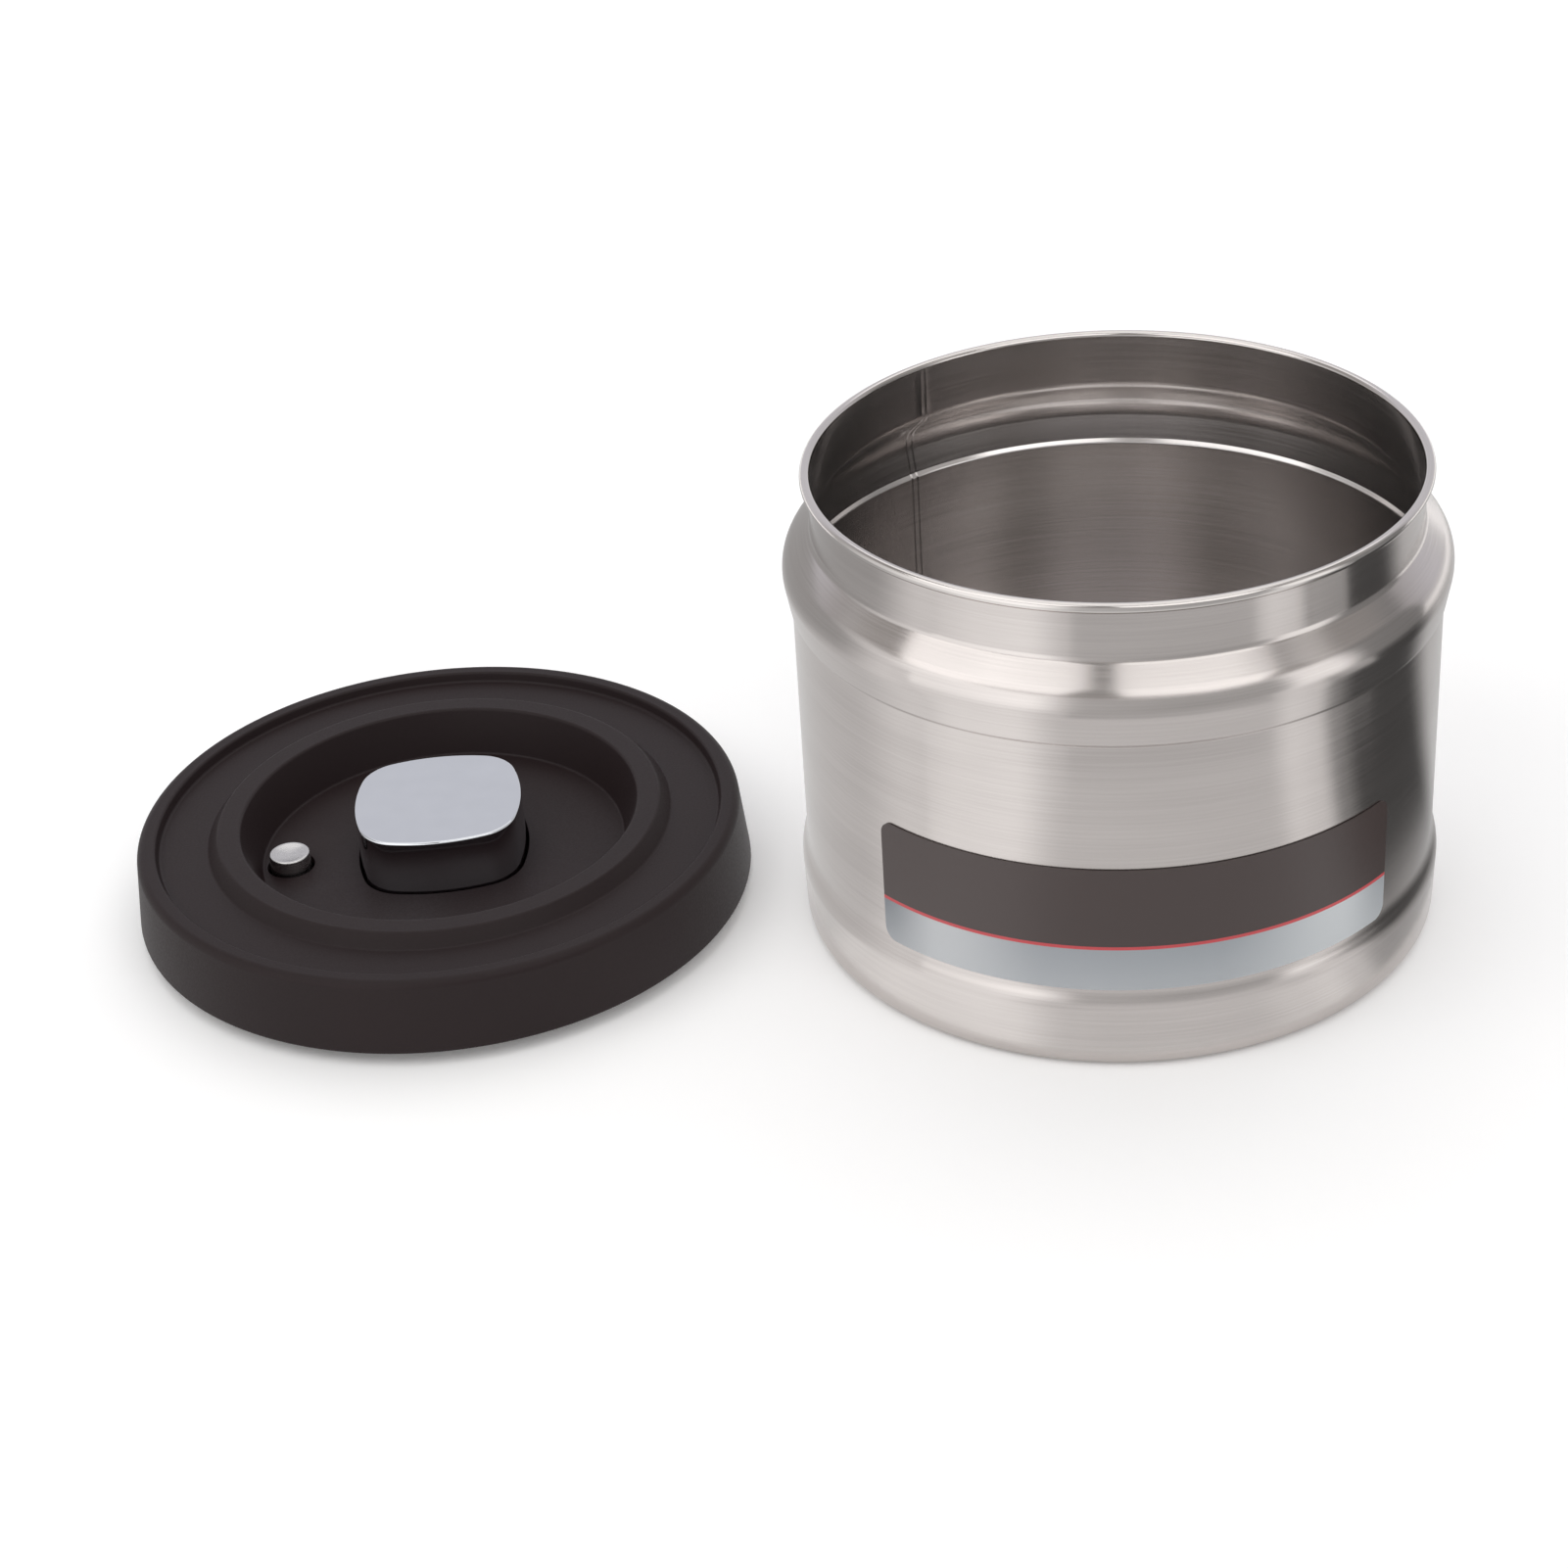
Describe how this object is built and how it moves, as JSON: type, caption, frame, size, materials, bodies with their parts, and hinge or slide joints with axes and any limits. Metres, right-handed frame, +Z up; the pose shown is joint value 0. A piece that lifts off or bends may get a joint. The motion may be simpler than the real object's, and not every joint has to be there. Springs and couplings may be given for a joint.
{
  "type": "vacuum seal canister",
  "caption": "Round steel food canister with a swollen shoulder and curled rim, and a dark pump lid lying beside it, with a push button and an air release valve.",
  "frame": {"origin": "centre of the canister's foot, on the table", "axes": "+Z up along the canister's axis, -X towards the lid that lies beside it, -Y to the front with the label"},
  "size_m": [0.2888, 0.1408, 0.1048],
  "materials": {
    "steel": "brushed round the body, bright in the curl and the folds",
    "label_film": "satin printed film, dark brown over a silver strip",
    "cover_plastic": "fine matte, dark warm brown",
    "plug_plastic": "smooth matte, dark warm brown",
    "silicone": "matte, pale grey",
    "chrome": "mirror bright plating",
    "turned_metal": "turned, bright",
    "spring_steel": "drawn wire",
    "screw_steel": "bright zinc",
    "white_plastic": "smooth, off-white"
  },
  "bodies": {
    "canister": {"canister_shell": "steel", "canister_base": "steel", "front_label": "label_film"},
    "lid": {"lid_cover": "cover_plastic", "inner_lid": "plug_plastic", "lid_gasket": "silicone", "lid_screws": "screw_steel", "cylinder_collar": "white_plastic", "inlet_valve": "silicone", "inlet_filter": "turned_metal", "pump_spring": "spring_steel", "release_spring": "spring_steel"},
    "pump_button": {"button_cap": "chrome", "pump_plunger": "white_plastic", "piston_seal": "silicone", "outlet_valve": "silicone", "plunger_screw": "screw_steel"},
    "release_button": {"release_cap": "turned_metal", "release_stem": "white_plastic", "release_seal": "silicone"}
  },
  "joints": [
    {"name": "lid_lift", "type": "slide", "parent": "canister", "child": "lid", "axis": [0, 0, 1], "range_m": [0, 0.12]},
    {"name": "pump_press", "type": "slide", "parent": "lid", "child": "pump_button", "axis": [0, 0, -1], "range_m": [0, 0.006], "stiffness_N_per_m": 1200, "springref_m": -0.006, "deforming": ["pump_spring"]},
    {"name": "release_press", "type": "slide", "parent": "lid", "child": "release_button", "axis": [0, 0, -1], "range_m": [0, 0.0016], "stiffness_N_per_m": 800, "springref_m": -0.003, "deforming": ["release_spring"]}
  ]
}
